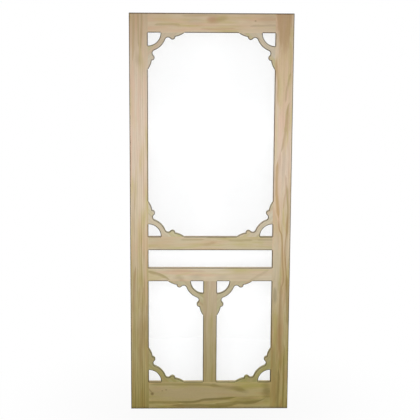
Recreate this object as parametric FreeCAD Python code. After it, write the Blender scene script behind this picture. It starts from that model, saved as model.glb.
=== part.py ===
"""Wooden screen door leaf: a pine frame with fretwork brackets, insect screens and screen stops.

Millimetres. X runs across the door from the hinge edge, Y from the front to the back, Z up from the foot.
The origin is on the hinge edge, halfway through the thickness, at the foot of the door.
"""
import FreeCAD
import Part
import math
import os

# the leaf
DOOR_WIDTH = 813.0
DOOR_HEIGHT = 2032.0
DOOR_THICKNESS = 28.5

# the frame as it is seen from the front
STILE_WIDTH = 92.0
TOP_RAIL_HEIGHT = 96.0
LOCK_RAIL_HEIGHT = 70.0
BOTTOM_RAIL_HEIGHT = 146.0
MULLION_WIDTH = 70.0
SLOT_HEIGHT = 92.0
LOWER_OPENING_HEIGHT = 536.0

# flat on the arrises of the leaf and of its openings, made after the joints are sanded flush
EASED_EDGE = 4.0

# the rabbet at the back: the lip is the wood left in front of it, and the brackets are as thick as the lip
LIP_THICKNESS = 19.0
RABBET_WIDTH = 9.5

# blind tenons of the rails and stub tenons of the mullion; the glue gap is left at the end of each mortise
TENON_THICKNESS = 9.5
TENON_LENGTH = 55.0
STUB_TENON_LENGTH = 25.0
TENON_SHOULDER = 12.0
GLUE_GAP = 1.5

# fretwork bracket, measured from the corner that it sits in
RIB_INNER_RADIUS = 63.5
RIB_WIDTH = 28.5
COVE_RADIUS = 15.0
COVE_ANGLE = 21.0
BEAD_RADIUS = 14.0
BEAD_REACH = 33.5
TAIL_LENGTH = 45.0
TAIL_BULGE = 3.0

# insect screens and the strips that hold them; the wire cloth is a coarse grid, with one wire for many
SCREEN_THICKNESS = 0.5
SCREEN_EDGE_GAP = 1.0
GRID_PITCH = 64.0
GRID_WIRE = 2.0
STOP_ROUND = 4.0

# depths from the front face to the back face
front = -DOOR_THICKNESS / 2
back = DOOR_THICKNESS / 2
lip_back = front + LIP_THICKNESS
tenon_front = front + (LIP_THICKNESS - TENON_THICKNESS) / 2
tenon_back = tenon_front + TENON_THICKNESS

# heights of the rails
bottom_rail_top = BOTTOM_RAIL_HEIGHT
lower_lock_rail_bottom = bottom_rail_top + LOWER_OPENING_HEIGHT
lower_lock_rail_top = lower_lock_rail_bottom + LOCK_RAIL_HEIGHT
upper_lock_rail_bottom = lower_lock_rail_top + SLOT_HEIGHT
upper_lock_rail_top = upper_lock_rail_bottom + LOCK_RAIL_HEIGHT
top_rail_bottom = DOOR_HEIGHT - TOP_RAIL_HEIGHT

# places across the door
left_edge = STILE_WIDTH
right_edge = DOOR_WIDTH - STILE_WIDTH
middle = DOOR_WIDTH / 2
mullion_left = middle - MULLION_WIDTH / 2
mullion_right = middle + MULLION_WIDTH / 2

# each opening as left, right, bottom, top
openings = {
    "upper": (left_edge, right_edge, upper_lock_rail_top, top_rail_bottom),
    "slot": (left_edge, right_edge, lower_lock_rail_top, upper_lock_rail_bottom),
    "lower_left": (left_edge, mullion_left, bottom_rail_top, lower_lock_rail_bottom),
    "lower_right": (mullion_right, right_edge, bottom_rail_top, lower_lock_rail_bottom),
}

# each rail as bottom, top, rabbet along its bottom, rabbet along its top
rails = {
    "top_rail": (top_rail_bottom, DOOR_HEIGHT, RABBET_WIDTH, 0),
    "upper_lock_rail": (upper_lock_rail_bottom, upper_lock_rail_top, RABBET_WIDTH, RABBET_WIDTH),
    "lower_lock_rail": (lower_lock_rail_bottom, lower_lock_rail_top, RABBET_WIDTH, RABBET_WIDTH),
    "bottom_rail": (0, bottom_rail_top, 0, RABBET_WIDTH),
}

# each bracket as its corner's x and z, and the ways in which it points from there
brackets = {
    "upper_top_left_bracket": (left_edge, top_rail_bottom, 1, -1),
    "upper_top_right_bracket": (right_edge, top_rail_bottom, -1, -1),
    "upper_bottom_left_bracket": (left_edge, upper_lock_rail_top, 1, 1),
    "upper_bottom_right_bracket": (right_edge, upper_lock_rail_top, -1, 1),
    "mullion_left_bracket": (mullion_left, lower_lock_rail_bottom, -1, -1),
    "mullion_right_bracket": (mullion_right, lower_lock_rail_bottom, 1, -1),
    "lower_left_bracket": (left_edge, bottom_rail_top, 1, 1),
    "lower_right_bracket": (right_edge, bottom_rail_top, -1, 1),
}


def spot(along, depth, across, upright):
    """Point of a member that runs up the door, or else across it."""
    if upright:
        return FreeCAD.Vector(across, depth, along)
    return FreeCAD.Vector(along, depth, across)


def prism(outline, start, end, upright):
    """Solid of a (depth, across) outline drawn along a member."""
    points = [spot(start, depth, across, upright) for depth, across in outline]
    face = Part.Face(Part.makePolygon(points + points[:1]))
    return face.extrude(spot(end - start, 0, 0, upright))


def bar(depth_front, depth_back, low, high, start, end, upright):
    """Square-edged bar along a member."""
    outline = [(depth_front, low), (depth_back, low), (depth_back, high), (depth_front, high)]
    return prism(outline, start, end, upright)


def tenon(shoulder, end, low, high, upright):
    """Solid of a tenon from its shoulder to its end, between the edges of its member."""
    return bar(tenon_front, tenon_back, low + TENON_SHOULDER, high - TENON_SHOULDER, shoulder, end, upright)


def member(start, end, low, high, rabbet_low, rabbet_high, tenon_length, upright):
    """Rail or mullion: its lip ends at the shoulders, its back half fills the rabbets of what it joins."""
    rear_start = start - RABBET_WIDTH
    rear_end = end + RABBET_WIDTH
    solid = bar(front, lip_back, low, high, start, end, upright)
    solid = solid.fuse([
        bar(lip_back, back, low + rabbet_low, high - rabbet_high, rear_start, rear_end, upright),
        tenon(start, start - tenon_length, low, high, upright),
        tenon(end, end + tenon_length, low, high, upright),
    ])
    return solid.removeSplitter()


def left_stile():
    """Stile with a rabbet along its inner edge and a mortise for each rail."""
    outline = [
        (front, 0),
        (front, STILE_WIDTH),
        (lip_back, STILE_WIDTH),
        (lip_back, STILE_WIDTH - RABBET_WIDTH),
        (back, STILE_WIDTH - RABBET_WIDTH),
        (back, 0),
    ]
    solid = prism(outline, 0, DOOR_HEIGHT, True)
    for low, high, _, _ in rails.values():
        solid = solid.cut(tenon(left_edge, left_edge - TENON_LENGTH - GLUE_GAP, low, high, False))
    return solid


def mirrored(shape):
    """The same shape on the other side of the door."""
    return shape.mirror(FreeCAD.Vector(middle, 0, 0), FreeCAD.Vector(1, 0, 0))


def rail(low, high, rabbet_low, rabbet_high):
    """Rail between the stiles."""
    return member(left_edge, right_edge, low, high, rabbet_low, rabbet_high, TENON_LENGTH, False)


def stub_mortise(shoulder, way):
    """Pocket for a stub tenon of the mullion, going up or down from its shoulder."""
    end = shoulder + way * (STUB_TENON_LENGTH + GLUE_GAP)
    return tenon(shoulder, end, mullion_left, mullion_right, True)


def along(start, toward, distance):
    """Point at a distance from a start toward another point, in the plane of the bracket."""
    length = math.dist(start, toward)
    return tuple(a + distance * (b - a) / length for a, b in zip(start, toward))


def bulge(centre, radius, first, second):
    """Middle point of the arc about a centre that runs between two of its points."""
    return along(centre, tuple((a + b) / 2 for a, b in zip(first, second)), radius)


def meeting(first, first_radius, second, second_radius):
    """Crossing of two circles, on the left of the way from the first centre to the second."""
    span = math.dist(first, second)
    reach = (first_radius ** 2 - second_radius ** 2 + span ** 2) / (2 * span)
    rise = math.sqrt(first_radius ** 2 - reach ** 2)
    way = ((second[0] - first[0]) / span, (second[1] - first[1]) / span)
    return (first[0] + reach * way[0] - rise * way[1], first[1] + reach * way[1] + rise * way[0])


def bracket_half(inset):
    """Arcs of half a bracket's free edge as start, middle and end, from the rib's middle to the tip of one tail.

    The inset moves each arc into the wood by that much.
    """
    corner = (0, 0)
    rib_radius = RIB_INNER_RADIUS + RIB_WIDTH
    lean = math.radians(COVE_ANGLE)
    cove = ((rib_radius + COVE_RADIUS) * math.sin(lean), (rib_radius + COVE_RADIUS) * math.cos(lean))
    bead_u = BEAD_REACH - BEAD_RADIUS
    bead_v = cove[1] + math.sqrt((COVE_RADIUS + BEAD_RADIUS) ** 2 - (cove[0] - bead_u) ** 2)
    bead = (bead_u, bead_v)

    # the tail is an arc from the quirk above the bead to the tip on the post
    quirk = (bead_u, bead_v + BEAD_RADIUS)
    tip = (0, quirk[1] + TAIL_LENGTH)
    tail_radius = ((math.dist(quirk, tip) / 2) ** 2 + TAIL_BULGE ** 2) / (2 * TAIL_BULGE)
    chord_middle = ((quirk[0] + tip[0]) / 2, (quirk[1] + tip[1]) / 2)
    outward = (chord_middle[0] + tip[1] - quirk[1], chord_middle[1] + quirk[0] - tip[0])
    tail = along(chord_middle, outward, TAIL_BULGE - tail_radius)

    rib_radius = rib_radius - inset
    cove_radius = COVE_RADIUS + inset
    bead_radius = BEAD_RADIUS - inset
    tail_radius = tail_radius - inset
    rib_middle = along(corner, (1, 1), rib_radius)
    rib_end = along(corner, cove, rib_radius)
    cove_end = along(cove, bead, cove_radius)
    bead_end = meeting(tail, tail_radius, bead, bead_radius)
    tail_end = (0, tail[1] + math.sqrt(tail_radius ** 2 - tail[0] ** 2))
    return [
        (rib_middle, bulge(corner, rib_radius, rib_middle, rib_end), rib_end),
        (rib_end, bulge(cove, cove_radius, rib_end, cove_end), cove_end),
        (cove_end, bulge(bead, bead_radius, cove_end, bead_end), bead_end),
        (bead_end, bulge(tail, tail_radius, bead_end, tail_end), tail_end),
    ]


def bracket_outline(inset, depth):
    """Closed outline of a bracket that points right and up from a corner at the origin."""
    upper_half = bracket_half(inset)
    lower_half = [tuple(point[::-1] for point in arc) for arc in upper_half]
    inner_radius = RIB_INNER_RADIUS + inset
    upper_foot = (0, inner_radius)
    lower_foot = (inner_radius, 0)
    arcs = upper_half + lower_half + [(upper_foot, along((0, 0), (1, 1), inner_radius), lower_foot)]
    feet = [(upper_half[-1][-1], upper_foot), (lower_half[-1][-1], lower_foot)]
    edges = []
    for arc in arcs:
        points = [FreeCAD.Vector(u, depth, v) for u, v in arc]
        edges.append(Part.Arc(*points).toShape())
    for foot in feet:
        points = [FreeCAD.Vector(u, depth, v) for u, v in foot]
        edges.append(Part.LineSegment(*points).toShape())
    return Part.Wire(Part.__sortEdges__(edges))


def bracket_pattern():
    """Bracket with its free front edge eased, pointing right and up from a corner at the origin."""
    eased_depth = front + EASED_EDGE
    outline = bracket_outline(0, eased_depth)
    body = Part.Face(outline).extrude(FreeCAD.Vector(0, lip_back - eased_depth, 0))
    eased_layer = Part.makeLoft([bracket_outline(EASED_EDGE, front), outline], True, True)
    return body.fuse(eased_layer).removeSplitter()


def bracket(pattern, x, z, way_x, way_z):
    """The bracket pattern turned into its own corner."""
    solid = pattern.copy()
    if way_x < 0:
        solid = solid.mirror(FreeCAD.Vector(0, 0, 0), FreeCAD.Vector(1, 0, 0))
    if way_z < 0:
        solid = solid.mirror(FreeCAD.Vector(0, 0, 0), FreeCAD.Vector(0, 0, 1))
    solid.translate(FreeCAD.Vector(x, 0, z))
    return solid


def free_stretches(start, end, bracket_at_start, bracket_at_end):
    """Stretches of an opening's side that the feet of its brackets leave free."""
    bracket_reach = bracket_half(0)[-1][-1][1]
    limits = [start]
    if bracket_at_start:
        limits += [start + RIB_INNER_RADIUS, start + bracket_reach]
    if bracket_at_end:
        limits += [end - bracket_reach, end - RIB_INNER_RADIUS]
    limits += [end]
    return zip(limits[::2], limits[1::2])


def arris(face, inward, edge, way, start, end, upright):
    """Corner of wood that easing takes off: the face's depth and the way into the wood, the edge and its way."""
    outline = [(face, edge), (face, edge + way * EASED_EDGE), (face + inward * EASED_EDGE, edge)]
    return prism(outline, start, end, upright)


def leaf_arrises():
    """Arrises around the leaf, front and back."""
    corners = []
    for face, inward in ((front, 1), (back, -1)):
        for edge, way in ((0, 1), (DOOR_WIDTH, -1)):
            corners.append(arris(face, inward, edge, way, 0, DOOR_HEIGHT, True))
        for edge, way in ((0, 1), (DOOR_HEIGHT, -1)):
            corners.append(arris(face, inward, edge, way, 0, DOOR_WIDTH, False))
    return corners


def opening_arrises(left, right, bottom, top):
    """Arrises around an opening, on the front."""
    seats = list(brackets.values())
    corners = []
    for edge, way in ((left, -1), (right, 1)):
        at_bottom = (edge, bottom, -way, 1) in seats
        at_top = (edge, top, -way, -1) in seats
        for start, end in free_stretches(bottom, top, at_bottom, at_top):
            corners.append(arris(front, 1, edge, way, start, end, True))
    for edge, way in ((bottom, -1), (top, 1)):
        at_left = (left, edge, 1, -way) in seats
        at_right = (right, edge, -1, -way) in seats
        for start, end in free_stretches(left, right, at_left, at_right):
            corners.append(arris(front, 1, edge, way, start, end, False))
    return corners


def frontal_rectangle(left, right, bottom, top, depth):
    """Closed rectangle in a plane that faces the front."""
    corners = [(left, bottom), (right, bottom), (right, top), (left, top), (left, bottom)]
    return Part.makePolygon([FreeCAD.Vector(x, depth, z) for x, z in corners])


def screen(left, right, bottom, top):
    """Insect screen on the rabbet of an opening: a hem under the stops around a grid of wires."""
    hem = RABBET_WIDTH - SCREEN_EDGE_GAP
    columns = max(1, round((right - left) / GRID_PITCH))
    rows = max(1, round((top - bottom) / GRID_PITCH))
    column_width = (right - left) / columns
    row_height = (top - bottom) / rows
    outlines = [frontal_rectangle(left - hem, right + hem, bottom - hem, top + hem, lip_back)]
    for column in range(columns):
        mesh_left = left + column * column_width + GRID_WIRE / 2
        mesh_right = mesh_left + column_width - GRID_WIRE
        for row in range(rows):
            mesh_bottom = bottom + row * row_height + GRID_WIRE / 2
            mesh_top = mesh_bottom + row_height - GRID_WIRE
            outlines.append(frontal_rectangle(mesh_left, mesh_right, mesh_bottom, mesh_top, lip_back))
    sheet = Part.makeFace(outlines, "Part::FaceMakerCheese")
    return sheet.extrude(FreeCAD.Vector(0, SCREEN_THICKNESS, 0))


def stop(first, second, outward):
    """Mitred strip along one side of an opening, with its inner back edge rounded."""
    stop_front = lip_back + SCREEN_THICKNESS
    run = ((second[0] > first[0]) - (second[0] < first[0]), (second[1] > first[1]) - (second[1] < first[1]))
    first_outer = tuple(a + RABBET_WIDTH * (o - r) for a, o, r in zip(first, outward, run))
    second_outer = tuple(a + RABBET_WIDTH * (o + r) for a, o, r in zip(second, outward, run))
    points = [FreeCAD.Vector(x, stop_front, z) for x, z in (first, second, second_outer, first_outer, first)]
    solid = Part.Face(Part.makePolygon(points)).extrude(FreeCAD.Vector(0, back - stop_front, 0))
    inner_middle = FreeCAD.Vector((first[0] + second[0]) / 2, back, (first[1] + second[1]) / 2)
    rounded = min(solid.Edges, key=lambda edge: edge.CenterOfMass.distanceToPoint(inner_middle))
    return solid.makeFillet(STOP_ROUND, [rounded])


def stops(left, right, bottom, top):
    """The four strips around an opening."""
    return {
        "left": stop((left, bottom), (left, top), (-1, 0)),
        "right": stop((right, bottom), (right, top), (1, 0)),
        "bottom": stop((left, bottom), (right, bottom), (0, -1)),
        "top": stop((left, top), (right, top), (0, 1)),
    }


parts = {}

parts["left_stile"] = left_stile()
parts["right_stile"] = mirrored(parts["left_stile"])
for name, sizes in rails.items():
    parts[name] = rail(*sizes)

parts["bottom_rail"] = parts["bottom_rail"].cut(stub_mortise(bottom_rail_top, -1))
parts["lower_lock_rail"] = parts["lower_lock_rail"].cut(stub_mortise(lower_lock_rail_bottom, 1))
parts["mullion"] = member(
    bottom_rail_top,
    lower_lock_rail_bottom,
    mullion_left,
    mullion_right,
    RABBET_WIDTH,
    RABBET_WIDTH,
    STUB_TENON_LENGTH,
    True,
)

arrises = leaf_arrises()
for sides in openings.values():
    arrises += opening_arrises(*sides)
for name, solid in parts.items():
    parts[name] = solid.cut(arrises)

pattern = bracket_pattern()
for name, place in brackets.items():
    parts[name] = bracket(pattern, *place)

for name, sides in openings.items():
    parts[name + "_screen"] = screen(*sides)
    for side, strip in stops(*sides).items():
        parts[name + "_screen_" + side + "_stop"] = strip

os.makedirs("parts", exist_ok=True)
for name, solid in parts.items():
    solid.exportStep("parts/" + name + ".step")
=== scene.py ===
import bmesh
import bpy
import math
from collections import namedtuple
from mathutils import Matrix, Quaternion, Vector


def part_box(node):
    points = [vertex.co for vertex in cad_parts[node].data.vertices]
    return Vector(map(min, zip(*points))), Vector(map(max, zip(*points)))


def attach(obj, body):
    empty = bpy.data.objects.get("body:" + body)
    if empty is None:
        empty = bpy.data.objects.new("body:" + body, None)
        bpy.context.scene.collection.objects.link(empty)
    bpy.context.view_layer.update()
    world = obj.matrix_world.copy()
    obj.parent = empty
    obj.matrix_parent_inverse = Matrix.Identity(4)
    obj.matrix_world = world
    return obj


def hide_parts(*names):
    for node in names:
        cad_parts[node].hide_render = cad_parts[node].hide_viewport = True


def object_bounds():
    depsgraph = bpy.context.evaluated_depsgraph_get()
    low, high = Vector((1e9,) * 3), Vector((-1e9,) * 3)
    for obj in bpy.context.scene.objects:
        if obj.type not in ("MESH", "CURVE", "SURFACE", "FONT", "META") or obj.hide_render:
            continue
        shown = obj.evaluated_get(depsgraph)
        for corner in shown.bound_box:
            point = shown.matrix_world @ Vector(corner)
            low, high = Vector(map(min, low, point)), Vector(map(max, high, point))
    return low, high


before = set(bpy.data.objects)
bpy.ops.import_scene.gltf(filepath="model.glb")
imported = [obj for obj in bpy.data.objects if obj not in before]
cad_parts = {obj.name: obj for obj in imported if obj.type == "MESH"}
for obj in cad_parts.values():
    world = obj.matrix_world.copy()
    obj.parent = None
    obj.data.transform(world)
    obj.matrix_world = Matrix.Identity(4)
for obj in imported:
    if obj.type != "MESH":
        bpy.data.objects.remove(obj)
cad_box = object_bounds()

MM = 0.001

# camera, fitted to the whole leaf in a square frame: its place and aim, its roll in degrees, and its lens and
# sensor in millimetres
CAMERA_PLACE = (259 * MM, -5822 * MM, 2114 * MM)
CAMERA_AIM = (403.3 * MM, -14 * MM, 1051.8 * MM)
CAMERA_ROLL = 0.35
CAMERA_LENS = 100.3
CAMERA_SENSOR = 36.0

# soft boxes: one close in front at chest height, a wide one behind, a small one at each side and overhead,
# with their power in watts and their turn in degrees
Lamp = namedtuple("Lamp", "name place side power turn")
LAMPS = (
    Lamp("front_soft_box", (390 * MM, -1300 * MM, 1390 * MM), 800 * MM, 15.6, (90, 0, 0)),
    Lamp("back_soft_box", (406 * MM, 2400 * MM, 1500 * MM), 1600 * MM, 45.0, (-90, 0, 0)),
    Lamp("left_soft_box", (-1800 * MM, 0, 1100 * MM), 500 * MM, 20.0, (0, -90, 0)),
    Lamp("right_soft_box", (2613 * MM, 0, 1100 * MM), 500 * MM, 20.0, (0, 90, 0)),
    Lamp("top_soft_box", (406 * MM, 0, 3700 * MM), 500 * MM, 12.0, (0, 0, 0)),
)

# surroundings: the share of their white that lights the leaf, and the floor, whose white fades near the leaf
# into a grey pool of painted shade that carries a trace of its real shadow
AMBIENT = 0.12
FLOOR_SIDE = 60.0
FLOOR_GREY = 0.4
FLOOR_MATT_SHARE = 0.08
FLOOR_FADE = 1300 * MM
FLOOR_MIDDLE = (406 * MM, 0, 0)

# insect screen: bright wires in two crossing layers
WIRE_DIAMETER = 0.14 * MM
WIRE_PITCH = 1.6 * MM
WIRE_SIDES = 6

# brads along the screen stops, a little outside the middle of each strip
BRAD_RADIUS = 0.9 * MM
BRAD_HEIGHT = 0.3 * MM
BRAD_PITCH = 160 * MM
FEWEST_BRADS = 2
BRAD_SIDES = 12
BRAD_OFFSET = 1.5 * MM

OPENINGS = ("upper", "slot", "lower_left", "lower_right")
SIDES = ("left", "right", "bottom", "top")


def linear(code):
    """Linear colour of an sRGB hex code."""
    channels = [int(code[place:place + 2], 16) / 255 for place in (1, 3, 5)]
    parts = [c / 12.92 if c <= 0.04045 else ((c + 0.055) / 1.055) ** 2.4 for c in channels]
    return (*parts, 1.0)


# pine colours: pale early wood with pinkish and straw zones, late wood from olive to russet, heartwood, knots
EARLY = linear("#e4d1b8")
BLUSH = linear("#e3c6aa")
STRAW = linear("#d6c594")
OLIVE = linear("#a38d55")
RUSSET = linear("#b88d66")
AMBER = linear("#b9955a")
HEART = linear("#c6a684")
ROSE = linear("#dcc3bb")
PALE = linear("#e0d4c6")
FLAME = linear("#c9a184")
GREY = linear("#b3a58e")
KNOT = linear("#8a6a45")
PITCH = linear("#806a26")

# painted shade and light from the foot to the head of the leaf: a dark band of painted shade along the foot,
# a darker band along the head, and the wood yellower toward the foot and the head, paler between as a painted
# sheen
PAINTED_HEIGHT_TONE = (
    (0.0, (0.34, 0.32, 0.26, 1)),
    (0.0025, (0.34, 0.32, 0.26, 1)),
    (0.0045, (0.94, 0.96, 0.45, 1)),
    (0.3, (1, 1, 0.78, 1)),
    (0.62, (1, 1, 1, 1)),
    (0.8, (1, 1, 1, 1)),
    (0.997, (0.98, 0.95, 0.82, 1)),
    (1.0, (0.4, 0.38, 0.33, 1)),
)

# late wood through a year: a sharp end, a clear start and a slow darkening
LATE_WOOD = (
    (0.0, (0.45, 0.45, 0.45, 1)),
    (0.06, (0, 0, 0, 1)),
    (0.5, (0.12, 0.12, 0.12, 1)),
    (0.85, (0.7, 0.7, 0.7, 1)),
    (0.96, (1, 1, 1, 1)),
    (1.0, (0.6, 0.6, 0.6, 1)),
)

# painted shade by how squarely a face looks to the front or the back: edges a little darker, eased arrises
# dark
ARRIS_SHADE = (
    (0.0, (0.65, 0.65, 0.65, 1)),
    (0.3, (0.65, 0.65, 0.65, 1)),
    (0.5, (0.27, 0.27, 0.27, 1)),
    (0.9, (0.27, 0.27, 0.27, 1)),
    (0.97, (1, 1, 1, 1)),
    (1.0, (1, 1, 1, 1)),
)

# painted shade and light: how much darker an arris is painted that looks down, and how much lighter one that
# looks up, as light from above would fall, which is half of this at 45 degrees
LEAN_SHADE = 1.0

# a metal: its finish, the colours and the roughness of its bright and its dull patches, the size of those and
# how fine their detail is, drawn coarse enough to show
Metal = namedtuple("Metal", "finish bright dull roughness patch detail")

# drawn wire is bright and a little rough, with duller patches where it has oxidised
DRAWN_WIRE = Metal("drawn_aluminium_wire", linear("#f7f8f8"), linear("#eceef0"), (0.4, 0.6), 60 * MM, 2)

# heads of brads are grey, scuffed and darkened by the hammer
BRAD_STEEL = Metal("hammered_steel_brad", linear("#c4c1bb"), linear("#8b867e"), (0.3, 0.55), 1.2 * MM, 3)

# patterns of the wood: their sizes across and along the grain in millimetres, and how fine their detail is
Pattern = namedtuple("Pattern", "across along detail")
RUFFLE = Pattern(40, 120, 2)
RUFFLE_REACH = 7
RIM = Pattern(14, 70, 3)
ZONE = Pattern(30, 240, 2)
SWAY_WIDTH = 90
SWAY_DETAIL = 2

# noise values between which the wood turns pinkish, turns straw-coloured and gets back its figure, and how
# much of its figure plain wood keeps
PINKISH = (0.45, 0.65)
STRAWY = (0.5, 0.7)
FIGURED = (0.35, 0.6)
PLAIN_FIGURE = 0.35

# how many waves the width of the rings has to a ring and how fine their detail is, how many rings they shift,
# and how dark the faintest ring is against the strongest
WIDTH_WAVES = 0.4
WIDTH_DETAIL = 1
WIDTH_DRIFT = 2.0
FAINTEST_RING = 0.3

# fibres and resin ducts, drawn coarser than they are so that they show
FIBRE = Pattern(1.1, 80, 3)
FIBRE_SHADE = 0.13
DUCT = Pattern(0.8, 8, 0)
DUCT_NOISE = (0.7, 0.8)
DUCT_SHADE = 0.12

# sheen of the sanded wood: roughness of early and of late wood, and height of the relief
EARLY_ROUGHNESS = 0.68
LATE_ROUGHNESS = 0.54
WOOD_SPECULAR = 0.15
LATE_RELIEF = 0.5
RELIEF_HEIGHT = 0.3 * MM
RELIEF_STRENGTH = 0.25

# most rings that one stem has
LIFETIME = 100

# a knot or zone that goes through the board: its middle and half sizes in millimetres, its colour and how
# deep that is, how soft its rim is, its lean in degrees and the rings that it pushes aside
Mark = namedtuple("Mark", "x z half_width half_height colour depth rim lean push", defaults=(0.5, 0, 0))
THROUGH_BOARD = 1000

# a streak of late wood that goes through the board: points along it, its reach from there to the left or
# down and to the right or up in millimetres, its colour and how deep that is, and how soft its rim is; over
# a share of its length at each end it thins out, to a share of its reach
Streak = namedtuple("Streak", "path below above colour depth rim", defaults=(0.7,))
STREAK_TAPER = 0.15
STREAK_TIP = 0.05

# millimetres added to the sideways spread of a streak's path, so that it can be straight too
SPREAD_SPARE = 1

# how ragged the rims of marks and streaks are, and between which distances a mark pushes the rings aside,
# against their half sizes
RIM_RAGGEDNESS = 1.2
PUSH_FROM = 0.3
PUSH_TO = 3.0

# one board: its finish, the number of its stem, a point on the pith and the turn of the pith from upright
# in degrees, the width of a ring, the reach and length of the grain's sway in millimetres, how strongly the
# rings show at the foot and at the head of the leaf, the stem's tone against the common one, how much of the
# painted shade on edges and arrises it takes, its marks and its streaks
Board = namedtuple(
    "Board",
    "finish stem pith turn ring sway figure tone wear marks streaks",
    defaults=((1, 1, 1), 1, (), ()),
)

left_stile = Board(
    "rift_pine_left_stile", 1, (250, 140, 1000), (0.3, 0.15, 0), 6, (8, 520), (1.9, 0.4),
    tone=(0.99, 1.0, 1.05),
    marks=(
        Mark(46, 2060, 80, 240, HEART, 0.35, rim=0.8),
        Mark(46, 1805, 16, 26, OLIVE, 0.25, rim=0.9),
        Mark(18, 1640, 8, 180, BLUSH, 0.8, rim=0.7),
        Mark(58, 400, 20, 90, RUSSET, 0.35, rim=0.8),
        Mark(50, 280, 9, 60, RUSSET, 0.35, rim=0.8),
        Mark(46, 0, 70, 110, OLIVE, 0.25, rim=0.9),
    ),
    streaks=(
        Streak(((22, 2045), (22, 1960), (20, 1880), (16, 1790)), 5, 6, AMBER, 0.35),
        Streak(((44, 2045), (45, 1960), (46, 1860)), 3, 4, OLIVE, 0.3),
        Streak(((62, 2045), (60, 1960), (56, 1850)), 3, 4, OLIVE, 0.3),
        Streak(((28, 770), (22, 700), (17, 640), (14, 580), (13, 500)), 4, 4, RUSSET, 0.45),
        Streak(((46, 660), (44, 600), (40, 530)), 2, 3, RUSSET, 0.35),
        Streak(((67, 660), (64, 590), (62, 510)), 2, 3, RUSSET, 0.35),
        Streak(((83, 570), (79, 490), (77, 410)), 2, 3, RUSSET, 0.4),
    ),
)
right_stile = Board(
    "wavy_pine_right_stile", 2, (680, 60, 1000), (0.4, 0, 0), 19, (30, 230), (0.55, 0.15),
    tone=(1.0, 0.99, 1.03),
    marks=(
        Mark(764, 2042, 38, 200, HEART, 0.75, rim=0.2),
        Mark(768, 1775, 26, 75, BLUSH, 0.6, rim=0.7),
        Mark(729, 1770, 6, 35, RUSSET, 0.45, rim=0.8),
        Mark(738, 1670, 6, 75, AMBER, 0.45, rim=0.8),
        Mark(759, 1650, 15, 90, STRAW, 0.5, rim=0.8),
        Mark(787, 1520, 8, 60, AMBER, 0.4, rim=0.7),
        Mark(752, 1470, 11, 90, BLUSH, 0.7, rim=0.7),
        Mark(731, 1420, 5, 170, STRAW, 0.6, rim=0.8),
        Mark(751, 1300, 6, 45, RUSSET, 0.3, rim=0.8),
        Mark(772, 1282, 8, 60, GREY, 0.3, rim=0.8),
        Mark(742, 760, 22, 150, PALE, 0.6, rim=0.7),
        Mark(739, 609, 9, 38, GREY, 0.6),
        Mark(760, 390, 14, 80, FLAME, 0.35, rim=0.8),
        Mark(738, 240, 14, 110, OLIVE, 0.4, rim=0.8),
        Mark(740, 90, 24, 60, RUSSET, 0.3, rim=0.8),
    ),
    streaks=(
        Streak(((802, 1750), (784, 1682), (777, 1632), (776, 1590)), 4, 6, OLIVE, 0.35),
        Streak(((812, 1602), (790, 1580), (782, 1532), (773, 1432), (755, 1338)), 4, 8, OLIVE, 0.4),
        Streak(((742, 1310), (739, 1230), (738, 1160), (742, 1110), (751, 1000)), 7, 7, AMBER, 0.6),
        Streak(((777, 1240), (784, 1157), (777, 1107), (772, 1050)), 3, 7, RUSSET, 0.35),
        Streak(((789, 1190), (794, 1110), (797, 1050), (797, 980), (793, 900)), 5, 5, OLIVE, 0.5),
        Streak(
            ((796, 1050), (793, 950), (789, 900), (786, 850), (788, 800), (795, 700), (798, 600)),
            3, 3, RUSSET, 0.6,
        ),
        Streak(((797, 720), (799, 620), (802, 540), (805, 440)), 5, 8, OLIVE, 0.5),
        Streak(
            ((751, 1020), (754, 960), (769, 915), (772, 840), (774, 790), (780, 690), (775, 660), (767, 630)),
            3, 3, RUSSET, 0.65,
        ),
        Streak(((769, 690), (767, 600), (765, 480), (766, 390), (772, 266), (774, 180)), 6, 8, RUSSET, 0.45),
        Streak(((765, 220), (766, 120), (763, 60), (765, -30)), 8, 4, KNOT, 0.4),
        Streak(((788, 300), (790, 140), (789, 60), (790, -30)), 4, 4, OLIVE, 0.6),
    ),
)
top_rail = Board(
    "flat_pine_top_rail", 3, (400, 110, 1900), (0.5, 90, 0), 10, (12, 520), (0.12, 0.12),
    tone=(0.98, 0.98, 1.03),
    marks=(
        Mark(170, 1998, 35, 25, STRAW, 0.4, rim=0.9),
        Mark(320, 1998, 40, 20, GREY, 0.25, rim=0.9),
        Mark(690, 2005, 45, 18, HEART, 0.4, rim=0.9),
        Mark(448, 2003, 36, 13, OLIVE, 0.35, rim=0.7, lean=-12),
        Mark(408, 1998, 24, 17, FLAME, 0.75, rim=0.7, push=0.3),
        Mark(622, 1996, 4, 4, KNOT, 0.4),
    ),
    streaks=(
        Streak(((120, 1973), (190, 1974), (260, 1972)), 3, 7, OLIVE, 0.3),
        Streak(((250, 2019), (340, 2019), (450, 2020)), 3, 5, OLIVE, 0.25),
        Streak(((340, 1953), (430, 1955), (530, 1957)), 3, 5, FLAME, 0.35),
        Streak(((590, 1967), (660, 1971), (745, 1972)), 3, 6, KNOT, 0.2),
    ),
)
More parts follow.
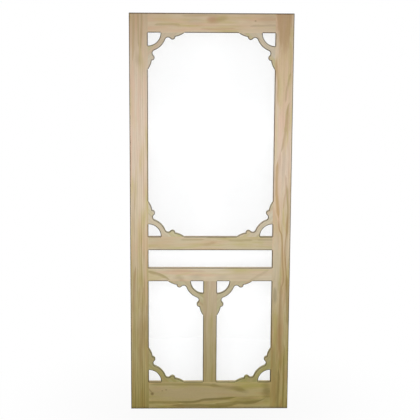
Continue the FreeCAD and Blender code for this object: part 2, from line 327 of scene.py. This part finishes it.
upper_lock_rail = Board(
    "rift_pine_upper_lock_rail", 4, (400, 100, 960), (0.4, 90, 0), 9, (14, 400), (0.2, 0.2),
    tone=(0.89, 0.92, 0.94),
    marks=(
        Mark(150, 876, 60, 22, BLUSH, 0.6, rim=0.8),
        Mark(395, 874, 28, 7, HEART, 0.45, rim=0.8, lean=-6),
        Mark(422, 885, 14, 6, FLAME, 0.4, rim=0.8),
        Mark(550, 880, 40, 14, STRAW, 0.45, rim=0.8),
        Mark(665, 882, 16, 14, STRAW, 0.5, rim=0.8),
        Mark(702, 880, 22, 14, BLUSH, 0.5, rim=0.8),
    ),
    streaks=(
        Streak(((250, 897), (300, 897), (380, 899)), 3, 6, OLIVE, 0.3),
        Streak(((380, 906), (430, 909), (495, 906)), 3, 6, OLIVE, 0.35),
        Streak(((490, 897), (550, 896), (625, 898)), 6, 4, OLIVE, 0.35),
        Streak(((640, 898), (690, 898), (736, 898)), 4, 3, KNOT, 0.25),
    ),
)
lower_lock_rail = Board(
    "flat_pine_lower_lock_rail", 5, (300, 70, 640), (1, 90, 0), 16, (16, 400), (0.12, 0.12),
    tone=(1.05, 1.08, 1.26),
    marks=(
        Mark(100, 722, 30, 24, STRAW, 0.5, rim=0.5),
        Mark(245, 704, 20, 10, OLIVE, 0.35, rim=0.9),
        Mark(262, 688, 14, 10, RUSSET, 0.3, rim=0.9),
        Mark(335, 704, 30, 12, GREY, 0.3, rim=0.9),
        Mark(470, 702, 30, 12, GREY, 0.25, rim=0.9),
        Mark(565, 708, 60, 18, HEART, 0.25, rim=0.9),
    ),
    streaks=(
        Streak(((84, 736), (120, 728), (142, 723), (163, 714), (206, 684)), 10, 4, OLIVE, 0.5),
        Streak(((160, 735), (260, 735), (390, 734)), 3, 4, FLAME, 0.35),
        Streak(((225, 708), (262, 716), (315, 728)), 3, 6, STRAW, 0.5),
        Streak(((600, 680), (645, 708), (670, 722), (710, 746)), 10, 6, OLIVE, 0.2),
        Streak(((520, 742), (620, 741), (720, 740)), 5, 5, STRAW, 0.6),
    ),
)
bottom_rail = Board(
    "flat_pine_bottom_rail", 6, (400, 30, 82), (-4.5, 90, 0), 40, (14, 260), (0.2, 0.2),
    tone=(1.09, 1.1, 1.32),
    marks=(
        Mark(330, 84, 235, 42, ROSE, 0.7, rim=0.5),
        Mark(562, 104, 34, 10, PITCH, 0.35, rim=0.9, lean=14),
        Mark(610, 42, 60, 16, PITCH, 0.3, rim=0.9),
        Mark(704, 95, 22, 38, PITCH, 0.5, rim=0.9),
        Mark(705, 35, 18, 14, STRAW, 0.5, rim=0.8),
        Mark(108, 80, 9, 6, KNOT, 0.65, push=0.1),
        Mark(160, 95, 5, 3, KNOT, 0.4),
        Mark(181, 102, 6, 3, KNOT, 0.45),
    ),
    streaks=(
        Streak(((85, 131), (235, 131), (335, 131), (415, 125), (480, 118)), 4, 9, OLIVE, 0.45),
        Streak(((400, 126), (470, 120), (540, 110), (600, 98)), 8, 8, OLIVE, 0.35, rim=0.9),
        Streak(((86, 116), (100, 98), (112, 82)), 4, 4, KNOT, 0.35),
        Streak(((60, 25), (115, 37), (185, 36), (270, 37)), 9, 5, OLIVE, 0.55),
        Streak(((230, 37), (305, 37), (345, 42), (380, 51), (460, 55), (555, 65)), 8, 4, PITCH, 0.6),
        Streak(
            ((190, 17), (360, 16), (510, 18), (560, 31), (610, 30), (650, 37), (705, 76)),
            6, 9, PITCH, 0.5,
        ),
        Streak(((430, 26), (490, 30), (560, 41)), 5, 4, OLIVE, 0.45),
    ),
)
mullion = Board(
    "rift_pine_mullion", 7, (330, 120, 400), (0.4, 0.3, 0), 11, (14, 400), (0.4, 0.4),
    tone=(0.93, 0.93, 1.07),
)
rising_bracket = Board(
    "sawn_pine_rising_bracket", 8, (300, 150, 700), (1, 45, 0), 7, (8, 400), (0.45, 0.45),
    tone=(0.91, 0.98, 1.08),
)
falling_bracket = rising_bracket._replace(finish="sawn_pine_falling_bracket", turn=(1, -45, 0))
upright_stop = Board(
    "planed_pine_upright_stop", 9, (300, 260, 700), (0.3, 0.3, 0), 5, (6, 400), (0.5, 0.5),
    # the stops take less of the painted shade on edges and arrises
    wear=0.3,
)
level_stop = upright_stop._replace(finish="planed_pine_level_stop", turn=(0.3, 90, 0))


def add(tree, kind, inputs=None, out=0, stops=(), curve=(), **settings):
    """New node from its settings and its inputs, which are values or sockets; gives one of its outputs.

    A ramp also gets its stops and a curve its points.
    """
    node = tree.nodes.new(kind)
    for name, value in settings.items():
        setattr(node, name, value)
    for place, _ in stops[1:-1]:
        node.color_ramp.elements.new(place)
    for number, (_, colour) in enumerate(stops):
        node.color_ramp.elements[number].color = colour
    for point in curve[1:-1]:
        node.mapping.curves[0].points.new(*point)
    for number, point in enumerate(curve):
        node.mapping.curves[0].points[number].location = point
    for name, value in (inputs or {}).items():
        if isinstance(value, bpy.types.NodeSocket):
            tree.links.new(value, node.inputs[name])
        else:
            node.inputs[name].default_value = value
    return node.outputs[out] if node.outputs else None


def new_material(name):
    """Empty material and its nodes."""
    material = bpy.data.materials.new(name)
    material.use_nodes = True
    material.node_tree.nodes.clear()
    return material, material.node_tree


def grain_noise(tree, place, pattern, out="Fac"):
    """Noise stretched along the grain, with waves as long across and along it as the pattern says."""
    pace = [1 / (size * MM) for size in (pattern.across, pattern.across, pattern.along)]
    scaled = add(tree, "ShaderNodeVectorMath", {0: place, 1: pace}, operation="MULTIPLY")
    return add(tree, "ShaderNodeTexNoise", {
        "Vector": scaled, "Scale": 1.0, "Detail": pattern.detail,
    }, out=out)


def shifted(tree, place, noise, reach):
    """Place moved by a colour noise, by up to about a reach in millimetres on each axis."""
    centred = add(tree, "ShaderNodeVectorMath", {0: noise, 1: (0.5, 0.5, 0.5)}, operation="SUBTRACT")
    reach = [2 * value * MM for value in reach]
    return add(tree, "ShaderNodeVectorMath", {0: centred, 1: reach, 2: place}, operation="MULTIPLY_ADD")


def distance_from_mark(tree, place, mark):
    """Distance on the face from the middle of a mark, where 1 is its rim."""
    offset = add(tree, "ShaderNodeMapping", {
        "Vector": place,
        "Location": (mark.x * MM, 0, mark.z * MM),
        "Rotation": (0, math.radians(mark.lean), 0),
        "Scale": (mark.half_width * MM, THROUGH_BOARD, mark.half_height * MM),
    }, vector_type="TEXTURE")
    return add(tree, "ShaderNodeVectorMath", {0: offset}, out="Value", operation="LENGTH")


def distance_from_streak(tree, place, streak):
    """Distance on the face from the path of a streak, where 1 is its rim."""
    spans = [abs(last - first) for first, last in zip(streak.path[0], streak.path[-1])]
    run = spans.index(max(spans))
    runs = [point[run] for point in streak.path]
    sides = [point[1 - run] for point in streak.path]
    low = min(sides)
    spread = max(sides) - low + SPREAD_SPARE
    shares = [(value - runs[0]) / (runs[-1] - runs[0]) for value in runs]
    curve = [(share, (side - low) / spread) for share, side in zip(shares, sides)]
    axes = add(tree, "ShaderNodeSeparateXYZ", {"Vector": place}).node.outputs
    along, across = [axes["XZ"[axis]] for axis in (run, 1 - run)]
    along = add(tree, "ShaderNodeMapRange", {
        "Value": along, "From Min": runs[0] * MM, "From Max": runs[-1] * MM,
    })
    path = add(tree, "ShaderNodeFloatCurve", {"Value": along}, curve=curve)
    path = add(tree, "ShaderNodeMath", {0: path, 1: spread * MM, 2: low * MM}, operation="MULTIPLY_ADD")
    offset = add(tree, "ShaderNodeMath", {0: across, 1: path}, operation="SUBTRACT")
    above = add(tree, "ShaderNodeMath", {0: offset, 1: streak.above * MM}, operation="DIVIDE")
    below = add(tree, "ShaderNodeMath", {0: offset, 1: -streak.below * MM}, operation="DIVIDE")
    away = add(tree, "ShaderNodeMath", {0: above, 1: below}, operation="MAXIMUM")
    end = add(tree, "ShaderNodeMath", {0: along, 1: 0.5}, operation="PINGPONG")
    width = add(tree, "ShaderNodeMapRange", {
        "Value": end, "From Max": STREAK_TAPER, "To Min": STREAK_TIP,
    }, interpolation_type="SMOOTHSTEP")
    return add(tree, "ShaderNodeMath", {0: away, 1: width}, operation="DIVIDE")


def cover(tree, away, ragged, mark):
    """How far a mark or streak covers the wood at a distance from it."""
    away = add(tree, "ShaderNodeMath", {0: ragged, 1: RIM_RAGGEDNESS, 2: away}, operation="MULTIPLY_ADD")
    rim = 1 + RIM_RAGGEDNESS / 2
    return add(tree, "ShaderNodeMapRange", {
        "Value": away,
        "From Min": rim - mark.rim,
        "From Max": rim + mark.rim,
        "To Min": mark.depth,
        "To Max": 0.0,
    }, interpolation_type="SMOOTHSTEP")


def marked(tree, place, grain, rings, board):
    """Rings pushed aside by a board's marks, and the cover and colour of each of its marks and streaks."""
    ragged = grain_noise(tree, grain, RIM)
    ruffle = grain_noise(tree, grain, RUFFLE, out="Color")
    ruffled = shifted(tree, place, ruffle, (RUFFLE_REACH, 0, RUFFLE_REACH))
    covers = []
    for mark in board.marks:
        away = distance_from_mark(tree, ruffled, mark)
        push = add(tree, "ShaderNodeMapRange", {
            "Value": away, "From Min": PUSH_FROM, "From Max": PUSH_TO, "To Min": mark.push, "To Max": 0.0,
        }, interpolation_type="SMOOTHERSTEP")
        rings = add(tree, "ShaderNodeMath", {0: rings, 1: push}, operation="ADD")
        covers.append((cover(tree, away, ragged, mark), mark.colour))
    for streak in board.streaks:
        away = distance_from_streak(tree, place, streak)
        covers.append((cover(tree, away, ragged, streak), streak.colour))
    return rings, covers


def pine(board):
    """Bare sanded pine, sawn from a stem about its pith.

    The eye gets pale early wood and darker late wood in yearly rings, broad pinkish and straw-coloured zones,
    fine fibres and resin ducts, knots and streaks that bend the rings, and painted shade on edges and eased
    arrises.
    """
    material, tree = new_material(board.finish)
    place = add(tree, "ShaderNodeTexCoord", out="Object")
    grain = add(tree, "ShaderNodeMapping", {
        "Vector": place,
        "Location": [value * MM for value in board.pith],
        "Rotation": [math.radians(angle) for angle in board.turn],
    }, vector_type="TEXTURE")
    height = add(tree, "ShaderNodeSeparateXYZ", {"Vector": place}, out="Z")
    height = add(tree, "ShaderNodeMapRange", {"Value": height, "From Max": cad_box[1].z})

    # slow sway of the stem
    reach, length = board.sway
    sway = grain_noise(tree, grain, Pattern(SWAY_WIDTH, length, SWAY_DETAIL), out="Color")
    bent = shifted(tree, grain, sway, (reach, reach, 0))

    # distance from the pith, counted in rings
    pace = (1 / (board.ring * MM), 1 / (board.ring * MM), 0)
    across = add(tree, "ShaderNodeVectorMath", {0: bent, 1: pace}, operation="MULTIPLY")
    rings = add(tree, "ShaderNodeVectorMath", {0: across}, out="Value", operation="LENGTH")
    rings, covers = marked(tree, place, grain, rings, board)

    # broad zones of pinkish and of straw-coloured wood, and of plainer figure
    zones = grain_noise(tree, bent, ZONE, out="Color")
    zones = add(tree, "ShaderNodeSeparateColor", {"Color": zones}).node.outputs
    warm = add(tree, "ShaderNodeMapRange", {
        "Value": zones["Red"], "From Min": PINKISH[0], "From Max": PINKISH[1],
    })
    straw = add(tree, "ShaderNodeMapRange", {
        "Value": zones["Green"], "From Min": STRAWY[0], "From Max": STRAWY[1],
    })
    plain = add(tree, "ShaderNodeMapRange", {
        "Value": zones["Blue"], "From Min": FIGURED[0], "From Max": FIGURED[1], "To Min": PLAIN_FIGURE,
    })

    # one ring a year, each of its own width, darkness and hue
    drift = add(tree, "ShaderNodeTexNoise", {
        "W": rings, "Scale": WIDTH_WAVES, "Detail": WIDTH_DETAIL,
    }, noise_dimensions="1D")
    years = add(tree, "ShaderNodeMath", {0: drift, 1: WIDTH_DRIFT, 2: rings}, operation="MULTIPLY_ADD")
    season = add(tree, "ShaderNodeMath", {0: years}, operation="FRACT")
    year = add(tree, "ShaderNodeMath", {0: years}, operation="FLOOR")
    year = add(tree, "ShaderNodeMath", {0: year, 1: board.stem * LIFETIME}, operation="ADD")
    chance = add(tree, "ShaderNodeTexWhiteNoise", {"W": year}, noise_dimensions="1D").node.outputs
    hue = add(tree, "ShaderNodeSeparateColor", {"Color": chance["Color"]}, out="Blue")
    weight = add(tree, "ShaderNodeMapRange", {"Value": chance["Value"], "To Min": FAINTEST_RING})
    foot, head = board.figure
    strength = add(tree, "ShaderNodeMapRange", {"Value": height, "To Min": foot, "To Max": head})
    strength = add(tree, "ShaderNodeMath", {0: strength, 1: weight}, operation="MULTIPLY")
    strength = add(tree, "ShaderNodeMath", {0: strength, 1: plain}, operation="MULTIPLY")
    late = add(tree, "ShaderNodeValToRGB", {"Fac": season}, stops=LATE_WOOD)
    late = add(tree, "ShaderNodeMath", {0: late, 1: strength}, operation="MULTIPLY")

    # colours from the broadest to the finest
    line = add(tree, "ShaderNodeMix", {
        "Factor": hue, "A": OLIVE, "B": RUSSET,
    }, out="Result", data_type="RGBA")
    body = EARLY
    for share, colour in [(warm, BLUSH), (straw, STRAW), (late, line)] + covers:
        body = add(tree, "ShaderNodeMix", {
            "Factor": share, "A": body, "B": colour,
        }, out="Result", data_type="RGBA")

    # fibres and resin ducts
    fibre = grain_noise(tree, bent, FIBRE)
    duct = grain_noise(tree, bent, DUCT)
    duct = add(tree, "ShaderNodeMapRange", {
        "Value": duct, "From Min": DUCT_NOISE[0], "From Max": DUCT_NOISE[1],
    })
    shade = add(tree, "ShaderNodeMapRange", {
        "Value": fibre, "To Min": 1 - FIBRE_SHADE, "To Max": 1 + FIBRE_SHADE,
    })
    shade = add(tree, "ShaderNodeMath", {0: duct, 1: -DUCT_SHADE, 2: shade}, operation="MULTIPLY_ADD")

    # painted shade on edges and eased arrises, darker where they look down and lighter where they look up
    facing = add(tree, "ShaderNodeNewGeometry", out="True Normal")
    facing = add(tree, "ShaderNodeSeparateXYZ", {"Vector": facing}).node.outputs
    square = add(tree, "ShaderNodeMath", {0: facing["Y"]}, operation="ABSOLUTE")
    painted_edge_shade = add(tree, "ShaderNodeValToRGB", {"Fac": square}, stops=ARRIS_SHADE)
    lean = add(tree, "ShaderNodeMath", {0: facing["Z"], 1: square}, operation="MULTIPLY")
    lean = add(tree, "ShaderNodeMath", {0: lean, 1: LEAN_SHADE, 2: 1.0}, operation="MULTIPLY_ADD")
    painted_edge_shade = add(tree, "ShaderNodeMath", {0: painted_edge_shade, 1: lean}, operation="MULTIPLY")
    painted_edge_shade = add(tree, "ShaderNodeMapRange", {"Value": painted_edge_shade, "To Min": 1 - board.wear})

    # painted shade along the foot, darker along the head, yellower toward foot and head, paler between as
    # painted sheen
    painted_height_tone = add(tree, "ShaderNodeValToRGB", {"Fac": height}, stops=PAINTED_HEIGHT_TONE)
    for share in (shade, painted_edge_shade, painted_height_tone, board.tone):
        body = add(tree, "ShaderNodeVectorMath", {0: body, 1: share}, operation="MULTIPLY")

    roughness = add(tree, "ShaderNodeMapRange", {
        "Value": late, "To Min": EARLY_ROUGHNESS, "To Max": LATE_ROUGHNESS,
    })
    relief = add(tree, "ShaderNodeMath", {0: late, 1: LATE_RELIEF, 2: fibre}, operation="MULTIPLY_ADD")
    normal = add(tree, "ShaderNodeBump", {
        "Height": relief, "Strength": RELIEF_STRENGTH, "Distance": RELIEF_HEIGHT,
    })
    surface = add(tree, "ShaderNodeBsdfPrincipled", {
        "Base Color": body,
        "Roughness": roughness,
        "Normal": normal,
        "Specular IOR Level": WOOD_SPECULAR,
    })
    add(tree, "ShaderNodeOutputMaterial", {"Surface": surface})
    return material


def metal(kind):
    """Bare metal that turns from bright to dull in patches."""
    material, tree = new_material(kind.finish)
    place = add(tree, "ShaderNodeTexCoord", out="Object")
    patch = add(tree, "ShaderNodeTexNoise", {
        "Vector": place, "Scale": 1 / kind.patch, "Detail": kind.detail,
    })
    colour = add(tree, "ShaderNodeMix", {
        "Factor": patch, "A": kind.bright, "B": kind.dull,
    }, out="Result", data_type="RGBA")
    bright, dull = kind.roughness
    roughness = add(tree, "ShaderNodeMapRange", {"Value": patch, "To Min": bright, "To Max": dull})
    surface = add(tree, "ShaderNodeBsdfPrincipled", {
        "Base Color": colour,
        "Roughness": roughness,
        "Metallic": 1.0,
    })
    add(tree, "ShaderNodeOutputMaterial", {"Surface": surface})
    return material


def seen_share(tree):
    """1 where the camera, a mirror or glass looks, 0 where light is gathered."""
    rays = add(tree, "ShaderNodeLightPath").node.outputs
    seen = rays["Is Camera Ray"]
    for ray in ("Is Glossy Ray", "Is Transmission Ray"):
        seen = add(tree, "ShaderNodeMath", {0: seen, 1: rays[ray]}, operation="MAXIMUM")
    return seen


def floor_paint():
    """White studio paint: white to the eye, fading near the leaf into a grey pool of painted shade that
    carries a trace of the leaf's real shadow, matt grey as a light.
    """
    material, tree = new_material("white_studio_floor")
    place = add(tree, "ShaderNodeTexCoord", out="Object")
    place = add(tree, "ShaderNodeVectorMath", {0: place, 1: FLOOR_MIDDLE}, operation="SUBTRACT")
    away = add(tree, "ShaderNodeVectorMath", {0: place}, out="Value", operation="LENGTH")
    # painted shade: less white and more lit matt grey toward the middle under the leaf
    white = add(tree, "ShaderNodeMapRange", {
        "Value": away, "From Max": FLOOR_FADE, "To Min": 1 - FLOOR_MATT_SHARE, "To Max": 1.0,
    }, interpolation_type="SMOOTHSTEP")
    share = add(tree, "ShaderNodeMath", {0: seen_share(tree), 1: white}, operation="MULTIPLY")
    matt = add(tree, "ShaderNodeBsdfDiffuse", {"Color": (FLOOR_GREY, FLOOR_GREY, FLOOR_GREY, 1)})
    glow = add(tree, "ShaderNodeEmission", {"Color": (1, 1, 1, 1), "Strength": 1.0})
    surface = add(tree, "ShaderNodeMixShader", {0: share, 1: matt, 2: glow})
    add(tree, "ShaderNodeOutputMaterial", {"Surface": surface})
    return material


def linked(name, data):
    """Object in the scene."""
    item = bpy.data.objects.new(name, data)
    bpy.context.scene.collection.objects.link(item)
    return item


def piece(name, shape, material):
    """Object of a finished bmesh."""
    mesh = bpy.data.meshes.new(name)
    shape.to_mesh(mesh)
    shape.free()
    mesh.materials.append(material)
    return linked(name, mesh)


def add_rod(shape, place, turn, radius, length, sides):
    """Round rod with closed ends, added to a bmesh: upright at a place, and then turned there."""
    bmesh.ops.create_cone(
        shape,
        cap_ends=True,
        segments=sides,
        radius1=radius,
        radius2=radius,
        depth=length,
        matrix=Matrix.Translation(place) @ turn,
    )


def wire_screen(node, material):
    """Cloth of straight wires in the place of a screen: upright ones in front, level ones behind."""
    low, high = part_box(node)
    middle = (low + high) / 2
    lengths = (high.x - low.x, high.z - low.z)
    layers = (
        (0, middle.y - WIRE_DIAMETER / 2, Matrix.Identity(4)),
        (1, middle.y + WIRE_DIAMETER / 2, Matrix.Rotation(math.radians(90), 4, "Y")),
    )
    shape = bmesh.new()
    for side, depth, turn in layers:
        count = int(lengths[side] / WIRE_PITCH)
        first = -(count - 1) * WIRE_PITCH / 2
        for number in range(count):
            place = Vector((middle.x, depth, middle.z))
            place[side * 2] += first + number * WIRE_PITCH
            add_rod(shape, place, turn, WIRE_DIAMETER / 2, lengths[1 - side], WIRE_SIDES)
    item = piece(node + "_wire", shape, material)
    item.data.shade_smooth()
    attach(item, "root")
    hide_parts(node)


def stop_brads(opening, material):
    """Heads of the brads along the four stops of an opening."""
    turn = Matrix.Rotation(math.radians(-90), 4, "X")
    shape = bmesh.new()
    for side in SIDES:
        low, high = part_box(opening + "_screen_" + side + "_stop")
        run = 2 if side in ("left", "right") else 0
        outward = 1 if side in ("right", "top") else -1
        length = high[run] - low[run]
        count = max(FEWEST_BRADS, round(length / BRAD_PITCH))
        for number in range(count):
            place = (low + high) / 2
            place[run] = low[run] + length * (number + 0.5) / count
            place[2 - run] += outward * BRAD_OFFSET
            place.y = high.y - BRAD_HEIGHT / 2
            add_rod(shape, place, turn, BRAD_RADIUS, BRAD_HEIGHT, BRAD_SIDES)
    item = piece(opening + "_stop_brads", shape, material)
    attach(item, "root")


def soft_box(lamp):
    """Square lamp that the camera doesn't see."""
    light = bpy.data.lights.new(lamp.name, "AREA")
    light.shape = "SQUARE"
    light.size = lamp.side
    light.energy = lamp.power
    item = linked(lamp.name, light)
    item.location = lamp.place
    item.rotation_euler = [math.radians(angle) for angle in lamp.turn]
    item.visible_camera = False


# wood
boards = {
    "left_stile": pine(left_stile),
    "right_stile": pine(right_stile),
    "top_rail": pine(top_rail),
    "upper_lock_rail": pine(upper_lock_rail),
    "lower_lock_rail": pine(lower_lock_rail),
    "bottom_rail": pine(bottom_rail),
    "mullion": pine(mullion),
}
rising_pine = pine(rising_bracket)
falling_pine = pine(falling_bracket)
for corner in ("upper_top_left", "upper_bottom_right", "mullion_right", "lower_right"):
    boards[corner + "_bracket"] = rising_pine
for corner in ("upper_top_right", "upper_bottom_left", "mullion_left", "lower_left"):
    boards[corner + "_bracket"] = falling_pine
upright_pine = pine(upright_stop)
level_pine = pine(level_stop)
stop_pine = {"left": upright_pine, "right": upright_pine, "bottom": level_pine, "top": level_pine}
for opening in OPENINGS:
    for side in SIDES:
        boards[opening + "_screen_" + side + "_stop"] = stop_pine[side]
for node, material in boards.items():
    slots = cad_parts[node].data.materials
    slots.clear()
    slots.append(material)

# screens and brads
wire = metal(DRAWN_WIRE)
steel = metal(BRAD_STEEL)
for opening in OPENINGS:
    wire_screen(opening + "_screen", wire)
    stop_brads(opening, steel)

# floor
floor_shape = bmesh.new()
bmesh.ops.create_grid(floor_shape, x_segments=1, y_segments=1, size=FLOOR_SIDE / 2)
floor = piece("floor", floor_shape, floor_paint())

# surroundings: white where they are seen, dim as a light
world = bpy.data.worlds.new("white_studio")
world.use_nodes = True
studio = world.node_tree
studio.nodes.clear()
brightness = add(studio, "ShaderNodeMapRange", {"Value": seen_share(studio), "To Min": AMBIENT})
sky = add(studio, "ShaderNodeBackground", {"Color": (1, 1, 1, 1), "Strength": brightness})
add(studio, "ShaderNodeOutputWorld", {"Surface": sky})
bpy.context.scene.world = world
for lamp in LAMPS:
    soft_box(lamp)

# camera
optics = bpy.data.cameras.new("camera")
optics.lens = CAMERA_LENS
optics.sensor_width = CAMERA_SENSOR
camera = linked("camera", optics)
camera.location = CAMERA_PLACE
view = (Vector(CAMERA_AIM) - Vector(CAMERA_PLACE)).to_track_quat("-Z", "Y")
camera.rotation_euler = (view @ Quaternion((0, 0, 1), math.radians(CAMERA_ROLL))).to_euler()
bpy.context.scene.camera = camera
bpy.context.scene.view_settings.view_transform = "Standard"
